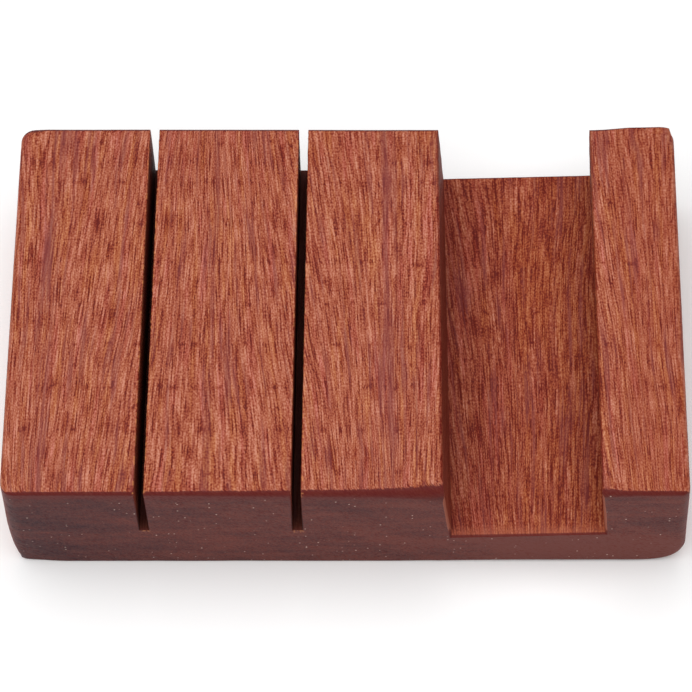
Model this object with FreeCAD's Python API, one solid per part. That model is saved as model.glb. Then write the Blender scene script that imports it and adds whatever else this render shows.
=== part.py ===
import FreeCAD, Part
import math
import os

# Table number holder: one solid block of hardwood, cut and then eased by hand.
#
# Two thin saw kerfs on the left each stand one card upright. A wide channel on the right, cut
# with the block tipped a little, takes a thick card or a small sign. All three run through from
# the front to the back. The left side is square to the base. The right side spreads outwards
# on its way down and ends in a broad rounded edge.
#
# Millimetres, +X to the right, +Y to the back, +Z up. The origin is the middle of the base.

# Lands and cuts across the top, from the left side to the right side.
FIRST_LAND = 21.8
FIRST_KERF = 1.5
SECOND_LAND = 23.3
SECOND_KERF = 1.5
THIRD_LAND = 22.0
CHANNEL_WIDTH = 25.2
LAST_LAND = 14.3

# The block.
BLOCK_DEPTH = 68.8
BLOCK_HEIGHT = 25.5
SIDE_SPREAD_DEG = 3.5  # lean of the right side, out from the vertical

# Wood left under each cut.
WOOD_UNDER_KERFS = 12.0
WOOD_UNDER_CHANNEL = 9.5  # at the left wall, where the channel is deepest
CHANNEL_LEAN_DEG = 4.5  # lean of both channel walls, foot towards +X
CHANNEL_RISE_DEG = 2.7  # slope of the channel floor, up towards +X

# Eased edges.
ARRIS_RADIUS = 1.2  # every outer edge but the two long lower ones
TOE_RADIUS = 2.0  # long lower edge of the left side
HEEL_RADIUS = 6.0  # long lower edge of the right side
KERF_EASING = 0.25  # chamfer along the mouths of the kerfs
CHANNEL_EASING = 0.4  # chamfer along the mouth of the channel

CUT_OVERRUN = 5.0  # how far a cutter runs past the wood
NODE_NAME = "holder_block"


def tangent(degrees):
    """Tangent of an angle given in degrees."""
    return math.tan(math.radians(degrees))


def heel_setback():
    """How far the rounded heel stops short of the sharp corner that it replaces, along X."""
    lean = math.radians(SIDE_SPREAD_DEG)
    return HEEL_RADIUS * ((1 + math.sin(lean)) / math.cos(lean) - 1)


SPREAD = BLOCK_HEIGHT * tangent(SIDE_SPREAD_DEG)
TOP_WIDTH = (
    FIRST_LAND + FIRST_KERF + SECOND_LAND + SECOND_KERF + THIRD_LAND + CHANNEL_WIDTH + LAST_LAND
)
OVERALL_WIDTH = TOP_WIDTH + SPREAD - heel_setback()

# Stations along X, each from the one before it.
LEFT_SIDE = -OVERALL_WIDTH / 2
FIRST_KERF_START = LEFT_SIDE + FIRST_LAND
SECOND_KERF_START = FIRST_KERF_START + FIRST_KERF + SECOND_LAND
CHANNEL_START = SECOND_KERF_START + SECOND_KERF + THIRD_LAND
RIGHT_SIDE = CHANNEL_START + CHANNEL_WIDTH + LAST_LAND


def prism(section, front, back):
    """Solid from a closed section of (x, z) corners, drawn out from front to back along Y."""
    corners = [FreeCAD.Vector(x, front, z) for x, z in section]
    outline = Part.makePolygon(corners + corners[:1])
    return Part.Face(outline).extrude(FreeCAD.Vector(0, back - front, 0))


def long_edge(solid, x, z):
    """The edge of a solid that runs front to back through the corner (x, z)."""
    for edge in solid.Edges:
        ends = [vertex.Point for vertex in edge.Vertexes]
        if all(math.hypot(end.x - x, end.z - z) < Part.Precision.confusion() for end in ends):
            return edge
    raise ValueError(f"no edge runs front to back at x={x:.2f}, z={z:.2f}")


def end_edges(solid):
    """The edges around the front end and the back end of a solid."""
    return [edge for edge in solid.Edges if edge.BoundBox.YLength < Part.Precision.confusion()]


def block_blank():
    """The block before any cut, with its toe, its heel and its arrises rounded."""
    lower_left = (LEFT_SIDE, 0)
    lower_right = (RIGHT_SIDE + SPREAD, 0)
    upper_right = (RIGHT_SIDE, BLOCK_HEIGHT)
    upper_left = (LEFT_SIDE, BLOCK_HEIGHT)
    section = [lower_left, lower_right, upper_right, upper_left]
    blank = prism(section, -BLOCK_DEPTH / 2, BLOCK_DEPTH / 2)
    blank = blank.makeFillet(HEEL_RADIUS, [long_edge(blank, *lower_right)])
    blank = blank.makeFillet(TOE_RADIUS, [long_edge(blank, *lower_left)])
    arrises = [long_edge(blank, *corner) for corner in (upper_right, upper_left)]
    return blank.makeFillet(ARRIS_RADIUS, arrises + end_edges(blank))


def cutter(start, width, floor_left, floor_right, lean_deg, easing):
    """Cutter for a groove that opens upwards, with a flared mouth to ease its two top edges.

    start and width are taken at the top of the block, and floor_left and floor_right are the
    heights of the floor at the foot of each wall.
    """
    slope = tangent(lean_deg)
    end = start + width
    above = BLOCK_HEIGHT + CUT_OVERRUN
    flare = easing + CUT_OVERRUN
    section = [
        (start + (BLOCK_HEIGHT - floor_left) * slope, floor_left),
        (end + (BLOCK_HEIGHT - floor_right) * slope, floor_right),
        (end + easing * slope, BLOCK_HEIGHT - easing),
        (end + flare, above),
        (start - flare, above),
        (start + easing * slope, BLOCK_HEIGHT - easing),
    ]
    reach = BLOCK_DEPTH / 2 + CUT_OVERRUN
    return prism(section, -reach, reach)


def kerf_cutter(start, width):
    """Cutter for an upright card kerf."""
    return cutter(start, width, WOOD_UNDER_KERFS, WOOD_UNDER_KERFS, 0, KERF_EASING)


def channel_cutter():
    """Cutter for the tipped channel, whose floor rises from its left wall to its right wall."""
    lean = tangent(CHANNEL_LEAN_DEG)
    rise = tangent(CHANNEL_RISE_DEG)
    floor_span = CHANNEL_WIDTH / (1 + rise * lean)
    floor_right = WOOD_UNDER_CHANNEL + floor_span * rise
    return cutter(
        CHANNEL_START,
        CHANNEL_WIDTH,
        WOOD_UNDER_CHANNEL,
        floor_right,
        CHANNEL_LEAN_DEG,
        CHANNEL_EASING,
    )


def holder_block():
    """The finished block."""
    cutters = [
        kerf_cutter(FIRST_KERF_START, FIRST_KERF),
        kerf_cutter(SECOND_KERF_START, SECOND_KERF),
        channel_cutter(),
    ]
    return block_blank().cut(cutters)


os.makedirs("parts", exist_ok=True)
holder_block().exportStep(os.path.join("parts", NODE_NAME + ".step"))
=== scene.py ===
"""Table number holder: one block of oiled, reddish-brown hardwood with two card kerfs and a sign channel.

The block is built in millimetres and scaled to metres as its last step. +X is to the right, +Y to the back
and +Z up, as in the frame, and the origin is the middle of the base.
"""

import logging
import math
from collections.abc import Iterable, Sequence
from dataclasses import dataclass, field
from enum import Enum

import bmesh
import bpy
from mathutils import Euler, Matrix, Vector, noise


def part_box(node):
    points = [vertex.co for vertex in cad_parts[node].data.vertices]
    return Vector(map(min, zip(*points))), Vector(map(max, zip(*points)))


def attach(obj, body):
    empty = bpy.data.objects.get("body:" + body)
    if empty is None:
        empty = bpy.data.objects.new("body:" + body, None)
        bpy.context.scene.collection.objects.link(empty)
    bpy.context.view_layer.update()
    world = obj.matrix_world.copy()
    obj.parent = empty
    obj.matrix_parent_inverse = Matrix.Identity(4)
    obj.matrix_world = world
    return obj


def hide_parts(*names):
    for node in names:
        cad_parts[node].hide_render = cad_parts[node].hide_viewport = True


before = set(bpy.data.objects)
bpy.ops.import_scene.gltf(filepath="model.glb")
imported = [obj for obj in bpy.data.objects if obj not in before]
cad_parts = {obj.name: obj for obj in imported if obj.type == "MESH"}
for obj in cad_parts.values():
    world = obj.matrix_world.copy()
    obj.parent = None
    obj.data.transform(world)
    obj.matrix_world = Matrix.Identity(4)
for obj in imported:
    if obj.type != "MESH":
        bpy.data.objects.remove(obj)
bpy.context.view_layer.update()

MM = 0.001
CAD_NODE = "holder_block"
SLOT_NAME = "oiled_hardwood"
END_GRAIN = "end_grain"
SAWN = "sawn"
WAVE_SEED = 7  # fixes the waviness of the faces, which is otherwise new on every run
CUTTER_OVERRUN = 3.0  # how far a cutter runs past the wood, in millimetres
WIDE_CUT = 4.0  # a cut wider than this has its floor divided too
MERGE_GAP = 0.004  # cut points closer than this, in millimetres, become one
SLIVER = 0.002  # edges shorter than this, in millimetres, are dropped
SHARP_EDGE_DEG = 48  # edges that turn more than this stay sharp

Colour = tuple[float, float, float]
log = logging.getLogger("table_number_holder")


def linear(red: int, green: int, blue: int) -> Colour:
    """Turn a display colour into the linear values that a shader works in.

    Args:
        red: Red, 0 to 255.
        green: Green, 0 to 255.
        blue: Blue, 0 to 255.

    Returns:
        The linear colour.
    """
    def channel(value: int) -> float:
        """Linear value of one channel."""
        share = value / 255
        return share / 12.92 if share <= 0.04045 else ((share + 0.055) / 1.055) ** 2.4

    return channel(red), channel(green), channel(blue)


def smooth(value: float) -> float:
    """Ease a value from 0 to 1, level at both ends, and hold it there outside."""
    held = min(max(value, 0.0), 1.0)
    return held * held * (3 - 2 * held)


def stations(first: float, last: float, step: float) -> list[float]:
    """Evenly spaced places from first to last, no further apart than step.

    Args:
        first: The first place.
        last: The last place.
        step: The widest gap.

    Returns:
        The places, both ends included.
    """
    count = max(1, math.ceil((last - first) / step))
    return [first + (last - first) * i / count for i in range(count + 1)]


class Axis(Enum):
    """A direction that the wood is divided along."""

    ACROSS = Vector((1, 0, 0))
    ALONG = Vector((0, 1, 0))
    UP = Vector((0, 0, 1))


def divide(bm: bmesh.types.BMesh, axis: Axis, places: Iterable[float]) -> None:
    """Cut the faces of a mesh by planes square to an axis, so that it can be shaped finely.

    Args:
        bm: The mesh.
        axis: What the planes are square to.
        places: Where each plane stands along it.
    """
    for place in places:
        bmesh.ops.bisect_plane(
            bm,
            geom=bm.verts[:] + bm.edges[:] + bm.faces[:],
            dist=1e-5,
            plane_co=axis.value * place,
            plane_no=axis.value,
        )


def ease(bm: bmesh.types.BMesh, edges: Sequence[bmesh.types.BMEdge], radius: float, segments: int) -> None:
    """Round the given edges.

    Args:
        bm: The mesh.
        edges: The sharp edges.
        radius: Radius of the round.
        segments: How many strips make it.
    """
    bmesh.ops.bevel(
        bm,
        geom=list(edges),
        offset=radius,
        offset_type="OFFSET",
        segments=segments,
        profile=0.5,
        affect="EDGES",
        material=-1,
    )


@dataclass(frozen=True)
class SawCut:
    """One cut, sawn from front to back. Lengths are in millimetres.

    Attributes:
        name: What the cut is called.
        middle: Its middle across the top of the block.
        width: Its width at the top.
        foot: Height of its floor, at the left wall.
        lean_deg: Lean of both walls, foot to the right.
        rise_deg: Slope of the floor, up to the right.
        turn_deg: How much more both walls lean at the front than at the back.
        taper: How much narrower it is at the front, all of it off the right wall.
        yaw: How far its back end stands right of its middle, and its front end left.
        easing: Radius worn along its mouth.
        ragged: How far its walls stray from true.
    """

    name: str
    middle: float
    width: float
    foot: float
    lean_deg: float = 0.0
    rise_deg: float = 0.0
    turn_deg: float = 0.0
    taper: float = 0.0
    yaw: float = 0.0
    easing: float = 0.2
    ragged: float = 0.05

    def worn(self, inside: float) -> float:
        """How far the mouth has opened at a distance inside the face that it comes out of.

        Args:
            inside: Distance in from the face. It is less than nothing outside the wood.

        Returns:
            How far the wall stands back from its true place.
        """
        if inside >= self.easing:
            return 0.0
        if inside < 0:
            return self.worn(0.0) - 1.6 * inside
        reach = 0.94 * (self.easing - inside)
        return self.easing - math.sqrt(self.easing**2 - reach**2)

    def cutter(self, block: "HolderBlock") -> bmesh.types.BMesh:
        """Make the waste that this cut takes out.

        Args:
            block: The block that is cut.

        Returns:
            A closed mesh, a little larger than the block in Y and at the top.
        """
        low, high = self.foot, block.height + CUTTER_OVERRUN
        bm = bmesh.new()
        bmesh.ops.create_cube(bm, size=1.0)
        bmesh.ops.scale(bm, vec=(self.width, block.depth + 2 * CUTTER_OVERRUN, high - low), verts=bm.verts)
        bmesh.ops.translate(bm, vec=(0, 0, (low + high) / 2), verts=bm.verts)
        near_faces = [self.easing * share for share in (0.0, 0.12, 0.35, 0.65, 1.0)]
        half = block.depth / 2
        divide(bm, Axis.ALONG, [-half - 0.3, half + 0.3, *(-half + s for s in near_faces)])
        divide(bm, Axis.ALONG, [half - s for s in near_faces])
        divide(bm, Axis.ALONG, stations(-half + 0.7, half - 0.7, 0.6))
        divide(bm, Axis.UP, [block.height + 0.3, *(block.height - s for s in near_faces)])
        divide(bm, Axis.UP, stations(self.foot + 1.6, block.height - 0.8, 1.6))
        if self.width > WIDE_CUT:
            divide(bm, Axis.ACROSS, stations(-self.width / 2 + 0.4, self.width / 2 - 0.4, 2.0))
        for vert in bm.verts:
            self._place(vert, block)
        return bm

    def _place(self, vert: bmesh.types.BMVert, block: "HolderBlock") -> None:
        """Move one corner of the cutter to where the saw really went.

        Args:
            vert: The corner.
            block: The block that is cut.
        """
        across, along, up = vert.co
        side = round(2 * across / self.width, 4)
        x = self.middle + across
        inside_front = along - block.front_face(x)
        inside_back = block.back_face(x) - along
        worn_end = max(self.worn(inside_front), self.worn(inside_back))
        worn_top = self.worn(block.height - up)
        stray = noise.noise(Vector((self.middle + side * 7, along * 1.1, up * 0.25)))
        chips = noise.noise(Vector((self.middle - side * 5, along * 2.9, up * 0.9)))
        near_mouth = smooth(1 - (block.height - up) / 1.5)
        ragged = self.ragged * (0.8 * stray + (0.5 + 0.9 * near_mouth) * chips)
        is_floor = up < self.foot + 1e-4
        if is_floor:
            run = (side + 1) / 2 * self.width
            up = self.foot + run * math.tan(math.radians(self.rise_deg))
            up += 0.6 * self.ragged * stray - 0.5 * worn_end
        if abs(side) > 0.999:
            across += side * (max(worn_end, worn_top) + ragged)
        forward = 0.5 - along / block.depth
        lean = math.radians(self.lean_deg + self.turn_deg * forward)
        x = self.middle + across + (block.height - up) * math.tan(lean)
        x += self.yaw * along / (block.depth / 2) - self.taper * forward * (side + 1) / 2
        vert.co = Vector((x, along, up))


@dataclass(frozen=True)
class Corner:
    """An upright corner of the block and how far it is rounded in plan.

    Attributes:
        side: -1 on the left, 1 on the right.
        end: -1 at the front, 1 at the back.
        radius: Its round, in millimetres.
    """

    side: int
    end: int
    radius: float


@dataclass
class HolderBlock:
    """The block of hardwood. Lengths are in millimetres; the outer sizes come from the frame.

    Attributes:
        width: Overall width.
        depth: Front to back.
        height: Base to top.
        right_at_top: Where the right side stands at the top.
        spread_deg: Lean of the right side, out from the vertical.
        arris: Radius of the eased edges.
        toe: Radius of the long lower edge on the left.
        heel: Radius of the long lower edge on the right.
        grid: The widest gap between the lines that divide the faces.
        wave: How far the faces stray from flat.
        corners: The four upright corners.
        cuts: The two kerfs and then the channel.
    """

    width: float
    depth: float
    height: float
    right_at_top: float = 54.19
    spread_deg: float = 3.4
    arris: float = 1.1
    toe: float = 2.0
    heel: float = 6.0
    grid: float = 2.0
    wave: float = 0.05
    corners: tuple[Corner, ...] = (
        Corner(side=-1, end=-1, radius=2.6),
        Corner(side=1, end=-1, radius=1.6),
        Corner(side=-1, end=1, radius=2.4),
        Corner(side=1, end=1, radius=2.4),
    )
    cuts: tuple[SawCut, ...] = field(default_factory=lambda: (
        SawCut("left_card_kerf", middle=-32.90, width=1.5, foot=12.2, easing=0.25),
        SawCut("middle_card_kerf", middle=-8.14, width=1.55, foot=12.2, yaw=0.2, easing=0.25),
        SawCut("sign_channel", middle=27.31, width=25.25, foot=9.5, lean_deg=4.5, rise_deg=2.7,
               turn_deg=1.8, taper=0.45, easing=0.6, ragged=0.07),
    ))

    @property
    def left(self) -> float:
        """Where the left side stands."""
        return -self.width / 2

    @property
    def eased(self) -> float:
        """How far in from a sharp edge its round reaches, with a hair to spare."""
        return self.arris + 1e-3

    def front_face(self, x: float) -> float:
        """Where the front face stands at a place across the block."""
        return -self.depth / 2 + 0.2 * (x - self.left) / self.width

    def back_face(self, x: float) -> float:
        """Where the back face stands at a place across the block."""
        return self.depth / 2 - 0.42 + 0.42 * smooth((x - self.right_at_top + 14) / 11)

    def blank(self) -> bmesh.types.BMesh:
        """Make the sawn blank with its edges rounded and its faces divided for shaping.

        Returns:
            The closed blank, its right side still upright.
        """
        bm = bmesh.new()
        bmesh.ops.create_cube(bm, size=1.0)
        span = self.right_at_top - self.left
        bmesh.ops.scale(bm, vec=(span, self.depth, self.height), verts=bm.verts)
        middle = (self.right_at_top + self.left) / 2
        bmesh.ops.translate(bm, vec=(middle, 0, self.height / 2), verts=bm.verts)
        ease(bm, self._long_edge(bm, self.right_at_top, 0), self.heel, 12)
        ease(bm, self._long_edge(bm, self.left, 0), self.toe, 6)
        rest = self._long_edge(bm, self.left, self.height)
        rest += self._long_edge(bm, self.right_at_top, self.height)
        rest += [e for e in bm.edges if abs(e.verts[0].co.y) > 1 and e.verts[0].co.y == e.verts[1].co.y]
        ease(bm, rest, self.arris, 6)
        clear = 4.5
        divide(bm, Axis.ACROSS, stations(self.left + clear, self.right_at_top - clear - 3, self.grid))
        divide(bm, Axis.ALONG, stations(-self.depth / 2 + clear, self.depth / 2 - clear, self.grid))
        divide(bm, Axis.UP, stations(clear, self.height - clear, self.grid))
        return bm

    @staticmethod
    def _long_edge(bm: bmesh.types.BMesh, x: float, z: float) -> list[bmesh.types.BMEdge]:
        """The edges that run front to back at the given place.

        Args:
            bm: The mesh.
            x: The place across.
            z: The height.

        Returns:
            The edges.
        """
        def there(vert: bmesh.types.BMVert) -> bool:
            """Whether a corner lies on that line."""
            return abs(vert.co.x - x) < 1e-3 and abs(vert.co.z - z) < 1e-3

        return [e for e in bm.edges if there(e.verts[0]) and there(e.verts[1])]

    def shape_by_hand(self, bm: bmesh.types.BMesh) -> None:
        """Give the true blank the small irregularities of a block that was eased and sanded by hand.

        Args:
            bm: The blank.
        """
        for vert in bm.verts:
            point = vert.co.copy()
            self._round_corners(point)
            self._dub_front_arris(point)
            self._pillow_left_side(point)
            self._trim_back_arris(point)
            self._trim_front_foot(point)
            self._dub_lower_corners(point)
            self._set_faces(point)
            vert.co = point

    def _round_corners(self, point: Vector) -> None:
        """Widen the round of each upright corner by scaling it about its sharp line.

        Args:
            point: The point of the blank, which is moved.
        """
        for corner in self.corners:
            x = self.right_at_top if corner.side > 0 else self.left
            y = corner.end * self.depth / 2
            off_x, off_y = point.x - x, point.y - y
            if abs(off_x) <= self.eased and abs(off_y) <= self.eased:
                low = self.heel if corner.side > 0 else self.toe
                growth = 1 + (corner.radius / self.arris - 1) * smooth((point.z - low) / 6.0)
                point.x = x + off_x * growth
                point.y = y + off_y * growth
                return

    def _dub_front_arris(self, point: Vector) -> None:
        """Ease the front top arris more where it meets the channel.

        Args:
            point: The point of the blank, which is moved.
        """
        off_y, off_z = point.y + self.depth / 2, self.height - point.z
        if off_y > self.eased or off_z > self.eased:
            return
        channel = self.cuts[-1]
        left_of = channel.middle - channel.width / 2 - point.x
        right_of = point.x - channel.middle - channel.width / 2
        growth = -0.35 + 0.45 * smooth((point.x - self.left - 16) / 40)
        if left_of > -3:
            growth += 1.95 * math.exp(-max(left_of, 0) / 5.0)
        if right_of > -3:
            growth = 0.9 * math.exp(-max(right_of, 0) / 1.8) - 0.2
        growth += 0.08 * noise.noise(Vector((point.x * 0.16, 3.1, 0)))
        point.y = -self.depth / 2 + off_y * (1 + growth)
        point.z = self.height - off_z * (1 + growth)

    def _pillow_left_side(self, point: Vector) -> None:
        """Let the left side bulge a little below its middle at the front, and draw in at the base.

        Args:
            point: The point of the blank, which is moved.
        """
        on_side = smooth(1 - (point.x - self.left) / 7.0)
        forward = 0.5 - point.y / self.depth
        bulge = 0.42 * forward * smooth((self.height - point.z) / 16.0)
        point.x += on_side * (0.55 * smooth(1 - point.z / 7.0) - bulge)

    def _trim_back_arris(self, point: Vector) -> None:
        """Leave the back top arris crisper towards the right.

        Args:
            point: The point of the blank, which is moved.
        """
        off_y, off_z = self.depth / 2 - point.y, self.height - point.z
        if off_y <= self.eased and off_z <= self.eased:
            kept = 1 - 0.6 * smooth((point.x - self.right_at_top + 14) / 8)
            point.y = self.depth / 2 - off_y * kept
            point.z = self.height - off_z * kept

    def _trim_front_foot(self, point: Vector) -> None:
        """Leave the lower front edge crisper towards the left.

        Args:
            point: The point of the blank, which is moved.
        """
        off_y = point.y + self.depth / 2
        if off_y <= self.eased and point.z <= self.eased:
            kept = 0.5 + 0.5 * smooth((point.x - 5) / 25)
            point.y = off_y * kept - self.depth / 2
            point.z *= kept

    def _dub_lower_corners(self, point: Vector) -> None:
        """Round over the two lower corners at the front and, less, the right one at the back.

        Args:
            point: The point of the blank, which is moved.
        """
        low = smooth(1 - point.z / 9.0)
        left = smooth(1 - (point.x - self.left) / 9.0)
        right = smooth(1 - (self.right_at_top - point.x) / 9.0)
        front = smooth(1 - (point.y + self.depth / 2) / 7.0)
        back = smooth(1 - (self.depth / 2 - point.y) / 7.0)
        point.x += low * (0.50 * left * front - 0.15 * right * front - 0.3 * right * back)
        point.y += low * (0.35 * left * front + 0.35 * right * front - 0.3 * right * back)
        point.z *= 1 - 0.4 * right * front * smooth(1 - point.z / 5.0)

    def _set_faces(self, point: Vector) -> None:
        """Set the plan taper, the skew of the ends, the lean of the right side and a slight waviness.

        Args:
            point: The point of the blank, which is moved.
        """
        forward = 0.5 - point.y / self.depth
        on_left = smooth(1 - (point.x - self.left) / 16.0)
        on_right = smooth(1 - (self.right_at_top - point.x) / 12.0)
        point.x += on_left * (0.03 + 0.62 * forward)
        point.x -= on_right * (0.05 + 0.78 * forward)
        point.x += on_right * (self.height - point.z) * math.tan(math.radians(self.spread_deg))
        ahead = smooth(1 - (point.y + self.depth / 2) / 12.0)
        behind = smooth(1 - (self.depth / 2 - point.y) / 12.0)
        point.y += ahead * (self.front_face(point.x) + self.depth / 2)
        point.y += behind * (self.back_face(point.x) - self.depth / 2)
        wave = noise.noise_vector(point * 0.09) * self.wave
        inset = Vector((
            1 if point.x < 0 else -1,
            1 if point.y < 0 else -1,
            0 if point.z < 0.05 else -1,
        ))
        point.x += inset.x * abs(wave.x)
        point.y += inset.y * abs(wave.y)
        point.z += inset.z * abs(wave.z)

    def build(self, finish: "OiledHardwood") -> bpy.types.Object:
        """Make, shape and cut the block, and dress it.

        Args:
            finish: The finish of the wood.

        Returns:
            The finished piece.
        """
        noise.seed_set(WAVE_SEED)
        bm = self.blank()
        self.shape_by_hand(bm)
        block = self._object_from(bm, "carved_block")
        waste = bmesh.new()
        for cut in self.cuts:
            part = cut.cutter(self)
            mesh = bpy.data.meshes.new("waste")
            part.to_mesh(mesh)
            part.free()
            waste.from_mesh(mesh)
            bpy.data.meshes.remove(mesh)
            log.info("cut %s", cut.name)
        for face in waste.faces:
            face.material_index = 1
        cutter = self._object_from(waste, "waste")
        material = finish.material(self)
        for piece in (block, cutter):
            piece.data.materials.append(material)
            piece.data.materials.append(material)
        self._saw(block, cutter)
        self._finish_mesh(block)
        return block

    @staticmethod
    def _object_from(bm: bmesh.types.BMesh, name: str) -> bpy.types.Object:
        """Put a mesh into the scene as an object, and free it.

        Args:
            bm: The mesh.
            name: What the object is called.

        Returns:
            The object.
        """
        bmesh.ops.recalc_face_normals(bm, faces=bm.faces)
        mesh = bpy.data.meshes.new(name)
        bm.to_mesh(mesh)
        bm.free()
        made = bpy.data.objects.new(name, mesh)
        bpy.context.collection.objects.link(made)
        return made

    @staticmethod
    def _saw(block: bpy.types.Object, cutter: bpy.types.Object) -> None:
        """Take the waste out of the block, and then throw the waste away.

        Args:
            block: The shaped blank.
            cutter: The waste of all the cuts.
        """
        saw = block.modifiers.new("saw", "BOOLEAN")
        saw.operation = "DIFFERENCE"
        saw.solver = "EXACT"
        saw.material_mode = "INDEX"
        saw.object = cutter
        ready = block.evaluated_get(bpy.context.evaluated_depsgraph_get())
        mesh = bpy.data.meshes.new_from_object(ready)
        block.modifiers.remove(saw)
        whole = block.data
        block.data = mesh
        mesh.name = "carved_block"
        bpy.data.meshes.remove(whole)
        bpy.data.objects.remove(cutter)

    @staticmethod
    def _put_in_order(bm: bmesh.types.BMesh) -> None:
        """Number the mesh by place, because the saw cuts come back in a new order on every run.

        Args:
            bm: The sawn mesh.
        """
        places = (
            (bm.verts, lambda vert: tuple(vert.co)),
            (bm.edges, lambda edge: tuple(edge.verts[0].co + edge.verts[1].co)),
            (bm.faces, lambda face: tuple(face.calc_center_median())),
        )
        for parts, place in places:
            for number, part in enumerate(sorted(parts, key=place)):
                part.index = number
            parts.sort()

    @staticmethod
    def _finish_mesh(block: bpy.types.Object) -> None:
        """Clean and scale the sawn mesh, and write down which faces are sawn and which show end grain.

        Args:
            block: The sawn block.
        """
        bm = bmesh.new()
        bm.from_mesh(block.data)
        HolderBlock._put_in_order(bm)
        bmesh.ops.remove_doubles(bm, verts=bm.verts, dist=MERGE_GAP)
        bmesh.ops.dissolve_degenerate(bm, edges=bm.edges, dist=SLIVER)
        bmesh.ops.triangulate(bm, faces=bm.faces, quad_method="BEAUTY", ngon_method="BEAUTY")
        bmesh.ops.scale(bm, vec=(MM, MM, MM), verts=bm.verts)
        bm.to_mesh(block.data)
        bm.free()
        mesh = block.data
        mesh.shade_smooth()
        mesh.set_sharp_from_angle(angle=math.radians(SHARP_EDGE_DEG))
        sawn = mesh.attributes.new(SAWN, "FLOAT", "FACE")
        for face in mesh.polygons:
            sawn.data[face.index].value = float(face.material_index)
            face.material_index = 0
        mesh.materials.pop()
        facing = mesh.attributes.new(END_GRAIN, "FLOAT", "CORNER")
        for corner, normal in enumerate(mesh.corner_normals):
            facing.data[corner].value = abs(normal.vector.y)
        weigh = block.modifiers.new("even_shading", "WEIGHTED_NORMAL")
        weigh.keep_sharp = True


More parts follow.
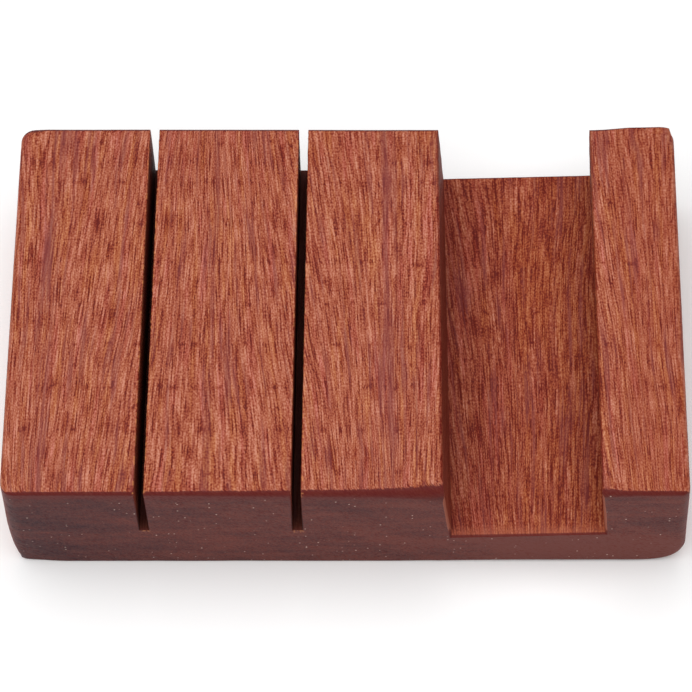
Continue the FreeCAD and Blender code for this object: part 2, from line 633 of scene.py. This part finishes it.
class Desk:
    """Lays down and joins shader nodes in one material."""

    def __init__(self, tree: bpy.types.NodeTree) -> None:
        """Start on an empty tree."""
        tree.nodes.clear()
        self.tree = tree

    def add(
        self, kind: str, inputs: dict[str | int, object] | None = None, **settings: object
    ) -> bpy.types.Node:
        """Add a node.

        Args:
            kind: The node's type.
            inputs: What goes into its sockets: a value, or another node's output.
            settings: The node's own settings.

        Returns:
            The node.
        """
        node = self.tree.nodes.new(kind)
        for name, value in settings.items():
            setattr(node, name, value)
        for name, value in (inputs or {}).items():
            self.put(node.inputs[name], value)
        return node

    def put(self, socket: bpy.types.NodeSocket, value: object) -> None:
        """Join an output to a socket, or set the socket's value.

        Args:
            socket: The socket.
            value: A value, or another node's output.
        """
        if isinstance(value, bpy.types.NodeSocket):
            self.tree.links.new(value, socket)
        elif isinstance(value, tuple) and len(value) == 3 and len(socket.default_value) == 4:
            socket.default_value = (*value, 1.0)
        else:
            socket.default_value = value

    def math(self, operation: str, a: object, b: object = 0.0, c: object = 0.0) -> bpy.types.NodeSocket:
        """One step of arithmetic."""
        return self.add("ShaderNodeMath", {0: a, 1: b, 2: c}, operation=operation).outputs[0]

    def total(self, start: float, *terms: tuple[object, float]) -> bpy.types.NodeSocket:
        """Add up terms, each times its own weight.

        Args:
            start: What the sum starts from.
            terms: Pairs of an output and its weight.

        Returns:
            The sum.
        """
        result: object = start
        for term, weight in terms:
            result = self.math("MULTIPLY_ADD", term, weight, result)
        return result

    def vector(self, x: object, y: object, z: object) -> bpy.types.NodeSocket:
        """A vector of three values."""
        return self.add("ShaderNodeCombineXYZ", {0: x, 1: y, 2: z}).outputs[0]

    def scaled(
        self, vector: object, by: tuple[float, float, float], shift: float = 0.0
    ) -> bpy.types.NodeSocket:
        """Scale a vector along each axis, and then move it.

        Args:
            vector: The vector.
            by: The scale along X, Y and Z.
            shift: How far it is moved along every axis.

        Returns:
            The new vector.
        """
        return self.add(
            "ShaderNodeVectorMath", {0: vector, 1: by, 2: (shift, shift, shift)}, operation="MULTIPLY_ADD"
        ).outputs[0]

    def noise(self, vector: object, detail: float = 2.0, rough: float = 0.5) -> bpy.types.NodeSocket:
        """Soft noise about 0.5, one lump to each unit of the vector.

        Args:
            vector: Where it is read.
            detail: How many finer layers it has.
            rough: How strong the finer layers are.

        Returns:
            The noise.
        """
        return self.add(
            "ShaderNodeTexNoise",
            {"Vector": vector, "Scale": 1.0, "Detail": detail, "Roughness": rough},
            noise_dimensions="3D",
        ).outputs["Fac"]

    def rise(self, value: object, start: float, end: float, top: float = 1.0) -> bpy.types.NodeSocket:
        """Ease from 0 to top as a value goes from start to end.

        Args:
            value: The value.
            start: Where the result is 0.
            end: Where the result is top. It may be less than start.
            top: The highest result.

        Returns:
            The eased value.
        """
        inputs = {"Value": value, "From Min": start, "From Max": end, "To Min": 0.0, "To Max": top}
        node = self.add("ShaderNodeMapRange", inputs, interpolation_type="SMOOTHSTEP")
        return node.outputs["Result"]

    def ramp(self, value: object, stops: Sequence[tuple[float, Colour]]) -> bpy.types.NodeSocket:
        """Pick a colour from a row of stops.

        Args:
            value: Where along the row, 0 to 1.
            stops: Each stop's place and colour.

        Returns:
            The colour.
        """
        node = self.add("ShaderNodeValToRGB", {"Fac": value})
        elements = node.color_ramp.elements
        while len(elements) < len(stops):
            elements.new(1.0)
        for element, (place, colour) in zip(elements, stops):
            element.position = place
            element.color = (*colour, 1.0)
        return node.outputs["Color"]

    def mix(self, share: object, first: object, second: object, blend: str = "MIX") -> bpy.types.NodeSocket:
        """Blend two colours.

        Args:
            share: How much of the second there is.
            first: The first colour.
            second: The second colour.
            blend: How they are blended.

        Returns:
            The colour.
        """
        node = self.add("ShaderNodeMix", data_type="RGBA", blend_type=blend)
        self.put(node.inputs["Factor"], share)
        self.put(node.inputs[6], first)
        self.put(node.inputs[7], second)
        return node.outputs[2]

    def curve(self, value: object, points: Sequence[tuple[float, float]]) -> bpy.types.NodeSocket:
        """Follow a smooth curve through points, all within 0 to 1.

        Args:
            value: The place along the curve.
            points: The points, from left to right.

        Returns:
            The height of the curve there.
        """
        node = self.add("ShaderNodeFloatCurve", {"Value": value})
        line = node.mapping.curves[0].points
        while len(line) < len(points):
            line.new(0.5, 0.5)
        for point, (x, y) in zip(line, points):
            point.location = (x, y)
            point.handle_type = "AUTO"
        node.mapping.update()
        return node.outputs["Value"]


@dataclass(frozen=True)
class InterlockedGrain:
    """How the fibres run: they swing left and right of the length in turn, layer by layer.

    Attributes:
        straight: Distances from the left side, at the top, where the fibres run straight.
        slope: How far the layers move to the right for each millimetre of depth.
        swing: How sharply the fibres turn, for each millimetre of length.
        first_straight: Where the wave stands at the first straight place, in half turns.
        low: Lowest distance from the left side that the wave covers.
        high: Highest distance from the left side that the wave covers.
    """

    straight: tuple[float, ...] = (-47.0, -21.0, 5.0, 30.5, 63.7, 84.0, 106.0, 128.0)
    slope: float = 1.3
    swing: float = 0.0108
    first_straight: int = -2
    low: float = -60.0
    high: float = 140.0

    def unbent(self, desk: Desk, across: object, along: object, depth: object) -> bpy.types.NodeSocket:
        """Where the fibre through a point crosses the middle of the block.

        Args:
            desk: The material's nodes.
            across: Distance from the left side.
            along: Distance back from the middle.
            depth: Distance under the top.

        Returns:
            The place across the block, in millimetres.
        """
        span = self.high - self.low
        count = len(self.straight) - 1
        forward = [((place - self.low) / span, i / count) for i, place in enumerate(self.straight)]
        layer = desk.math("MULTIPLY_ADD", depth, -self.slope, across)
        share = desk.math("DIVIDE", desk.math("SUBTRACT", layer, self.low), span)
        phase = desk.math("MULTIPLY", desk.curve(share, forward), count * math.pi)
        phase = desk.math("ADD", phase, self.first_straight * math.pi)
        whole = desk.math("ROUND", desk.math("DIVIDE", phase, math.tau))
        part = desk.math("MULTIPLY", desk.math("MULTIPLY_ADD", whole, -math.tau, phase), 0.5)
        pull = desk.math("EXPONENT", desk.math("MULTIPLY", along, -self.swing))
        rise = desk.math("MULTIPLY", desk.math("SINE", part), pull)
        turned = desk.math("MULTIPLY", desk.math("ARCTAN2", rise, desk.math("COSINE", part)), 2.0)
        origin = desk.math("MULTIPLY_ADD", whole, math.tau, turned)
        origin = desk.math("SUBTRACT", origin, self.first_straight * math.pi)
        back = [(y, x) for x, y in forward]
        place = desk.curve(desk.math("DIVIDE", origin, count * math.pi), back)
        return desk.math("MULTIPLY_ADD", place, span, self.low)


@dataclass(frozen=True)
class OiledHardwood:
    """Reddish-brown interlocked hardwood under a thin oil finish.

    Attributes:
        grain: How the fibres run.
        tones: Colours of the long grain, from darkest to lightest.
        purple: The darker heartwood streaks.
        amber_filter: What turns some layers towards amber.
        rosy_filter: What turns other layers towards rose.
        arris_red: The oil-dark edge between long grain and end grain.
        kerf_painted_shade: Painted shade on the walls of the kerfs, stronger deeper in.
        end_dark: The darkest end grain.
        end_light: The lightest end grain.
        fleck: Pale deposits in the pores of the end grain.
        torn: Fibres torn by the saw.
        streaks: The main purple streaks: distance from the left side, half width and strength.
    """

    grain: InterlockedGrain = InterlockedGrain()
    tones: tuple[tuple[float, Colour], ...] = (
        (0.00, linear(97, 24, 16)),
        (0.24, linear(128, 46, 28)),
        (0.50, linear(156, 78, 52)),
        (0.76, linear(175, 102, 77)),
        (1.00, linear(195, 128, 105)),
    )
    purple: Colour = linear(122, 56, 54)
    amber_filter: Colour = (1.0, 0.98, 0.66)
    rosy_filter: Colour = (0.97, 0.78, 0.92)
    arris_red: Colour = linear(91, 25, 23)
    # painted shade for the kerf walls, not a colour of the wood
    kerf_painted_shade: Colour = linear(58, 18, 12)
    end_dark: Colour = linear(57, 19, 26)
    end_light: Colour = linear(107, 48, 39)
    fleck: Colour = linear(214, 190, 176)
    torn: Colour = linear(214, 138, 84)
    streaks: tuple[tuple[float, float, float], ...] = ((6.2, 2.2, 0.75), (61.5, 2.6, 0.6), (33.0, 1.2, 0.4))

    def material(self, block: HolderBlock) -> bpy.types.Material:
        """Make the material.

        Args:
            block: The block that it is for, whose places it follows.

        Returns:
            The material.
        """
        material = bpy.data.materials.new(SLOT_NAME)
        material.use_nodes = True
        desk = Desk(material.node_tree)
        place = desk.add("ShaderNodeTexCoord").outputs["Object"]
        point = desk.scaled(place, (1 / MM, 1 / MM, 1 / MM))
        parts = desk.add("ShaderNodeSeparateXYZ", {0: point}).outputs
        across = desk.math("SUBTRACT", parts[0], block.left)
        depth = desk.math("SUBTRACT", block.height, parts[2])
        bend = desk.noise(desk.scaled(point, (0.06, 0.03, 0.06)), 1.0)
        across_bent = desk.total(across, (desk.math("SUBTRACT", bend, 0.5), 2.5))
        unbent = self.grain.unbent(desk, across_bent, parts[1], depth)
        fibre_point = desk.vector(unbent, parts[1], depth)
        sawn = desk.add("ShaderNodeAttribute", attribute_name=SAWN).outputs["Fac"]
        facing = desk.add("ShaderNodeAttribute", attribute_name=END_GRAIN).outputs["Fac"]

        tone, vessels, fibres = self._tone(desk, fibre_point, across, sawn)
        colour = desk.ramp(tone, self.tones)
        colour = self._warmth(desk, colour, fibre_point, sawn, parts[0])
        colour = self._purple_streaks(desk, colour, across, fibre_point)
        ragged = desk.total(facing, (desk.math("SUBTRACT", fibres, 0.5), 0.35))
        red = desk.rise(ragged, 0.32, 0.42)
        colour = desk.mix(desk.math("MULTIPLY", red, 0.94), colour, self.arris_red)
        soaked = desk.total(depth, (fibres, 1.4), (desk.rise(across, 60.0, 100.0), 0.9))
        end = desk.math("MULTIPLY", desk.rise(ragged, 0.62, 0.82), desk.rise(soaked, 2.0, 3.1))
        colour = desk.mix(end, colour, self._end_colour(desk, point, across, depth))
        # painted shade on the kerf walls, stronger deeper into the kerfs
        colour = desk.mix(self._painted_kerf_shade(desk, block, sawn, parts[0], depth), colour, self.kerf_painted_shade)
        colour = desk.mix(self._torn_edges(desk, block, point, depth, end), colour, self.torn)
        # painted shade in the channel and a painted highlight on its walls' front edges, with the lip
        colour = self._channel_painted_light_and_lip(desk, block, colour, point, depth, sawn)

        height = desk.total(0.0, (vessels, -1.0), (fibres, 0.5))
        height = desk.math("MULTIPLY", height, desk.math("SUBTRACT", 1.0, desk.math("MULTIPLY", end, 0.7)))
        bump = desk.add(
            "ShaderNodeBump", {"Strength": 0.35, "Distance": 0.05 * MM, "Height": height}
        ).outputs["Normal"]
        rough = desk.total(0.44, (fibres, 0.12), (vessels, 0.15), (sawn, 0.10))
        shader = desk.add("ShaderNodeBsdfPrincipled", {
            "Base Color": colour,
            "Roughness": rough,
            "Normal": bump,
            "Specular IOR Level": 0.15,
        })
        desk.add("ShaderNodeOutputMaterial", {"Surface": shader.outputs["BSDF"]})
        return material

    @staticmethod
    def _tone(desk: Desk, point: object, across: object, sawn: object) -> tuple[object, object, object]:
        """How light the long grain is.

        Args:
            desk: The material's nodes.
            point: The place, with the fibres made straight.
            across: Distance from the left side.
            sawn: Whether the face is sawn.

        Returns:
            The tone from 0 to 1, the vessel lines and the fibres.
        """
        blotch = desk.noise(desk.scaled(point, (0.45, 0.09, 0.4), 11.0), 2.0)
        stripe = desk.noise(desk.scaled(point, (1.3, 0.03, 0.9), 23.0), 1.0)
        strand = desk.noise(desk.scaled(point, (2.6, 0.10, 1.8), 31.0), 0.0)
        fibres = desk.noise(desk.scaled(point, (3.6, 0.24, 3.4), 53.0), 0.0)
        grit = desk.noise(desk.scaled(point, (4.4, 2.8, 4.0), 61.0), 0.0)
        line_noise = desk.noise(desk.scaled(point, (2.1, 0.13, 2.1), 83.0), 0.0)
        off_line = desk.math("ABSOLUTE", desk.math("SUBTRACT", line_noise, 0.5))
        lines = desk.rise(off_line, 0.045, 0.0)
        vessel_noise = desk.noise(desk.scaled(point, (4.0, 0.16, 3.0), 37.0), 0.0)
        vessels = desk.rise(vessel_noise, 0.58, 0.64)
        smoother = desk.rise(across, 96.0, 101.0)
        contrast = desk.total(0.9, (sawn, -0.10), (smoother, -0.18))
        spread = desk.total(
            0.10,
            (desk.math("SUBTRACT", blotch, 0.5), 0.40),
            (desk.math("SUBTRACT", stripe, 0.5), 0.50),
            (desk.math("SUBTRACT", strand, 0.5), 0.45),
            (desk.math("SUBTRACT", fibres, 0.5), 1.1),
            (desk.math("SUBTRACT", grit, 0.5), 1.1),
            (lines, -0.36),
            (vessels, -0.34),
        )
        tone = desk.math("MULTIPLY_ADD", spread, contrast, 0.54)
        tone = desk.total(tone, (smoother, -0.05))
        return desk.math("MULTIPLY_ADD", sawn, -0.17, tone), vessels, fibres

    def _warmth(self, desk: Desk, colour: object, point: object, sawn: object, x: object) -> object:
        """Turn the wood towards amber in some layers and towards rose in others.

        Args:
            desk: The material's nodes.
            colour: The colour so far.
            point: The place, with the fibres made straight.
            sawn: Whether the face is sawn.
            x: The place across the block.

        Returns:
            The colour, turned.
        """
        layers = desk.noise(desk.scaled(point, (0.75, 0.045, 0.6), 109.0), 3.0, 0.6)
        side = desk.math("MULTIPLY", sawn, desk.math("SUBTRACT", desk.rise(x, 14.0, 34.0, 0.20), 0.10))
        layers = desk.math("ADD", layers, side)
        colour = desk.mix(desk.rise(layers, 0.50, 0.64, 0.75), colour, self.amber_filter, "MULTIPLY")
        return desk.mix(desk.rise(layers, 0.47, 0.34, 0.80), colour, self.rosy_filter, "MULTIPLY")

    def _purple_streaks(self, desk: Desk, colour: object, across: object, point: object) -> object:
        """Lay purplish streaks where the heartwood is darker.

        Args:
            desk: The material's nodes.
            colour: The colour so far.
            across: Distance from the left side.
            point: The place, with the fibres made straight.

        Returns:
            The colour with the streaks.
        """
        strand = desk.noise(desk.scaled(point, (1.1, 0.03, 0.7), 71.0), 3.0)
        everywhere = desk.noise(desk.scaled(point, (0.9, 0.05, 0.7), 97.0), 3.0, 0.6)
        colour = desk.mix(desk.rise(everywhere, 0.52, 0.68, 0.55), colour, self.purple)
        for middle, half_width, strength in self.streaks:
            off = desk.math("ABSOLUTE", desk.math("SUBTRACT", across, middle))
            near = desk.rise(off, half_width, 0.0)
            share = desk.math("MULTIPLY", near, desk.rise(strand, 0.40, 0.62, strength))
            colour = desk.mix(share, colour, self.purple)
        return colour

    @staticmethod
    def _torn_edges(desk: Desk, block: HolderBlock, point: object, depth: object, end: object) -> object:
        """Pale torn fibres along the mouths of the kerfs and about their feet.

        Args:
            desk: The material's nodes.
            block: The block, for the places of its kerfs.
            point: The place in millimetres.
            depth: Distance under the top.
            end: Whether the face shows end grain.

        Returns:
            How strongly they show.
        """
        x = desk.add("ShaderNodeSeparateXYZ", {0: point}).outputs[0]
        chips = desk.noise(desk.scaled(point, (2.5, 1.3, 2.5), 5.0), 2.0)
        mouths: object = 0.0
        feet: object = 0.0
        for cut in block.cuts[:2]:
            off = desk.math("ABSOLUTE", desk.math("SUBTRACT", x, cut.middle))
            near = desk.math("MULTIPLY", desk.rise(off, 0.60, 0.72), desk.rise(off, 1.15, 0.85))
            mouths = desk.math("ADD", mouths, near)
            feet = desk.math("ADD", feet, desk.rise(off, 1.2, 0.4))
        foot_depth = block.height - block.cuts[0].foot
        under = desk.math("ABSOLUTE", desk.math("SUBTRACT", depth, foot_depth + 0.3))
        feet = desk.math("MULTIPLY", desk.math("MULTIPLY", feet, end), desk.rise(under, 0.85, 0.25))
        mouths = desk.math("MULTIPLY", mouths, desk.rise(depth, 1.6, 0.8))
        mouths = desk.math("MULTIPLY", mouths, desk.rise(chips, 0.48, 0.68, 0.55))
        return desk.math("ADD", mouths, desk.math("MULTIPLY", feet, desk.rise(chips, 0.50, 0.64, 0.65)))

    def _channel_painted_light_and_lip(
        self, desk: Desk, block: HolderBlock, colour: object, point: object, depth: object, sawn: object
    ) -> object:
        """Paint shade on the channel's walls and on its floor along each wall, paint a highlight along the
        walls' front edges, lighten the floor towards its front end and edge it there in dark red.

        Args:
            desk: The material's nodes.
            block: The block, for the place of its channel.
            colour: The colour so far.
            point: The place in millimetres.
            depth: Distance under the top.
            sawn: Whether the face is sawn.

        Returns:
            The colour with the painted shade, the painted highlight and the lip.
        """
        channel = block.cuts[-1]
        parts = desk.add("ShaderNodeSeparateXYZ", {0: point}).outputs
        inside = desk.math("ADD", parts[1], block.depth / 2)
        floor_depth = block.height - channel.foot
        on_floor = desk.math("MULTIPLY", sawn, desk.rise(depth, floor_depth - 3.2, floor_depth - 1.6))
        lit = desk.math("MULTIPLY", desk.rise(inside, 2.6, 0.6, 0.32), on_floor)
        colour = desk.mix(lit, colour, self.tones[3][1])
        past_kerfs = desk.rise(parts[0], channel.middle - 16.0, channel.middle - 15.0)
        on_wall = desk.math("MULTIPLY", sawn, past_kerfs)
        on_wall = desk.math("MULTIPLY", on_wall, desk.math("SUBTRACT", 1.0, on_floor))
        # painted shade on the channel walls
        colour = desk.mix(desk.math("MULTIPLY", on_wall, 0.35), colour, self.tones[0][1])
        # painted highlight along the front edge of the channel walls
        lit = desk.math("MULTIPLY", on_wall, desk.rise(inside, 1.1, 0.6, 0.6))
        colour = desk.mix(lit, colour, self.tones[3][1])
        edge = desk.math("MULTIPLY", desk.rise(inside, 0.65, 0.45, 0.85), on_floor)
        colour = desk.mix(edge, colour, self.arris_red)
        # painted shade on the channel floor along both walls, where the corners are
        off = desk.math("ABSOLUTE", desk.math("SUBTRACT", parts[0], channel.middle + 1.3))
        corner = desk.rise(off, channel.width / 2 - 2.4, channel.width / 2 - 0.2, 0.20)
        corner = desk.math("MULTIPLY", desk.math("MULTIPLY", corner, on_floor), desk.rise(inside, 0.5, 3.0))
        return desk.mix(corner, colour, self.tones[0][1])

    @staticmethod
    def _painted_kerf_shade(desk: Desk, block: HolderBlock, sawn: object, x: object, depth: object) -> object:
        """Painted shade on the kerf walls, stronger deeper into the kerfs.

        Args:
            desk: The material's nodes.
            block: The block, for the places of its kerfs.
            sawn: Whether the face is sawn.
            x: The place across the block.
            depth: Distance under the top.

        Returns:
            The share of the painted shade colour.
        """
        share: object = 0.0
        for cut in block.cuts[:2]:
            off = desk.math("ABSOLUTE", desk.math("SUBTRACT", x, cut.middle))
            share = desk.math("ADD", share, desk.rise(off, 2.0, 1.5))
        share = desk.math("MULTIPLY", share, sawn)
        return desk.math("MULTIPLY", share, desk.math("ADD", desk.rise(depth, 3.0, 11.0, 0.80), 0.10))

    def _end_colour(self, desk: Desk, point: object, across: object, depth: object) -> object:
        """The colour of the end grain: faint slanting growth bands, fine pores and a few pale flecks.

        Args:
            desk: The material's nodes.
            point: The place in millimetres.
            across: Distance from the left side.
            depth: Distance under the top.

        Returns:
            The colour.
        """
        layer = desk.math("MULTIPLY_ADD", depth, -self.grain.slope, across)
        band_x = desk.math("MULTIPLY", layer, 0.22)
        band_point = desk.vector(band_x, 0.0, desk.math("MULTIPLY", depth, 0.03))
        bands = desk.noise(band_point, 3.0)
        mottle = desk.noise(desk.scaled(point, (0.10, 0.1, 0.55), 7.0), 3.0, 0.6)
        pores = desk.noise(desk.scaled(point, (3.6, 1.0, 3.2), 13.0), 1.0)
        low_right = desk.math("MULTIPLY", desk.rise(across, 60.0, 90.0), desk.rise(depth, 10.0, 20.0))
        share = desk.total(
            -1.25,
            (bands, 0.6),
            (mottle, 1.4),
            (desk.rise(across, 2.0, 40.0), 0.42),
            (pores, 1.1),
            (low_right, 0.45),
        )
        colour = desk.mix(share, self.end_dark, self.end_light)
        cells = desk.add(
            "ShaderNodeTexVoronoi", {"Vector": desk.scaled(point, (1.0, 1.0, 1.0)), "Scale": 1.0}
        )
        pick = desk.add("ShaderNodeSeparateColor", {0: cells.outputs["Color"]}).outputs[0]
        near = desk.rise(cells.outputs["Distance"], 0.18, 0.08)
        flecks = desk.math("MULTIPLY", near, desk.rise(pick, 0.60, 0.98))
        return desk.mix(desk.math("MULTIPLY", flecks, 0.72), colour, self.fleck)


@dataclass(frozen=True)
class PaleFloor:
    """A plain pale floor under the holder.

    Attributes:
        size: Its width, in metres.
        colour: Its colour.
    """

    size: float = 6.0
    colour: Colour = linear(251, 251, 251)

    def build(self) -> bpy.types.Object:
        """Make the floor.

        Returns:
            The floor.
        """
        bm = bmesh.new()
        bmesh.ops.create_grid(bm, x_segments=4, y_segments=4, size=self.size / 2)
        mesh = bpy.data.meshes.new("floor")
        bm.to_mesh(mesh)
        bm.free()
        floor = bpy.data.objects.new("floor", mesh)
        bpy.context.collection.objects.link(floor)
        material = bpy.data.materials.new("pale_floor")
        material.use_nodes = True
        desk = Desk(material.node_tree)
        place = desk.add("ShaderNodeTexCoord").outputs["Object"]
        cloud = desk.noise(desk.scaled(place, (3.0, 3.0, 3.0)), 2.0)
        shade = desk.mix(desk.math("MULTIPLY", cloud, 0.02), self.colour, (0.8, 0.8, 0.8))
        shader = desk.add(
            "ShaderNodeBsdfPrincipled",
            {"Base Color": shade, "Roughness": 0.85, "Specular IOR Level": 0.1},
        )
        desk.add("ShaderNodeOutputMaterial", {"Surface": shader.outputs["BSDF"]})
        floor.data.materials.append(material)
        return floor


@dataclass(frozen=True)
class SoftLight:
    """Plain soft studio light: a wide panel overhead and an even glow all round.

    Attributes:
        panel_size: Width of the panel, in metres.
        panel_place: Where the panel hangs, in metres. It faces the holder.
        panel_power: Its power, in watts.
        glow: Strength of the glow.
    """

    panel_size: float = 1.6
    panel_place: Vector = Vector((-0.15, -0.10, 1.1))
    panel_power: float = 17.8
    glow: float = 0.31

    def build(self) -> None:
        """Hang the panel and set the glow."""
        lamp = bpy.data.lights.new("panel", "AREA")
        lamp.shape = "SQUARE"
        lamp.size = self.panel_size
        lamp.energy = self.panel_power
        panel = bpy.data.objects.new("panel", lamp)
        panel.location = self.panel_place
        panel.rotation_euler = (-self.panel_place).to_track_quat("-Z", "Y").to_euler()
        bpy.context.collection.objects.link(panel)
        world = bpy.data.worlds.new("glow")
        world.use_nodes = True
        background = world.node_tree.nodes["Background"]
        background.inputs["Color"].default_value = (1, 1, 1, 1)
        background.inputs["Strength"].default_value = self.glow
        bpy.context.scene.world = world
        bpy.context.scene.view_settings.view_transform = "Standard"


@dataclass(frozen=True)
class ViewCamera:
    """The camera, above and in front of the holder.

    Attributes:
        place: Where it stands, in millimetres.
        down_deg: How far it looks down from the level.
        roll_deg: How far it is turned about its own line of sight.
        lens: Its focal length, in millimetres.
        shift: How far the frame is moved to the right, as a share of its width.
    """

    place: Vector = Vector((3.355, -221.774, 414.006))
    down_deg: float = 61.17
    roll_deg: float = 0.07
    lens: float = 143.69
    shift: float = -0.03575

    def build(self) -> bpy.types.Object:
        """Set up the camera.

        Returns:
            The camera.
        """
        data = bpy.data.cameras.new("view")
        data.lens = self.lens
        data.sensor_width = 36.0
        data.shift_x = self.shift
        data.clip_start = 0.01
        data.clip_end = 50.0
        camera = bpy.data.objects.new("view", data)
        camera.location = self.place * MM
        turn = Euler((math.radians(90 - self.down_deg), 0, 0)).to_matrix()
        roll = Euler((0, 0, math.radians(self.roll_deg))).to_matrix()
        camera.rotation_euler = (turn @ roll).to_euler()
        bpy.context.collection.objects.link(camera)
        bpy.context.scene.camera = camera
        return camera


def main() -> None:
    """Build the holder, the floor, the light and the camera, and report each piece."""
    logging.basicConfig(level=logging.INFO, format="%(name)s: %(message)s")
    ViewCamera().build()
    SoftLight().build()
    PaleFloor().build()
    low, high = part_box(CAD_NODE)
    width, depth, height = (high - low) / MM
    block = HolderBlock(width=width, depth=depth, height=height)
    piece = block.build(OiledHardwood())
    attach(piece, "root")
    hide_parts(CAD_NODE)
    log.info("%s: %d faces, standing for %s", piece.name, len(piece.data.polygons), CAD_NODE)


if __name__ == "__main__":
    main()
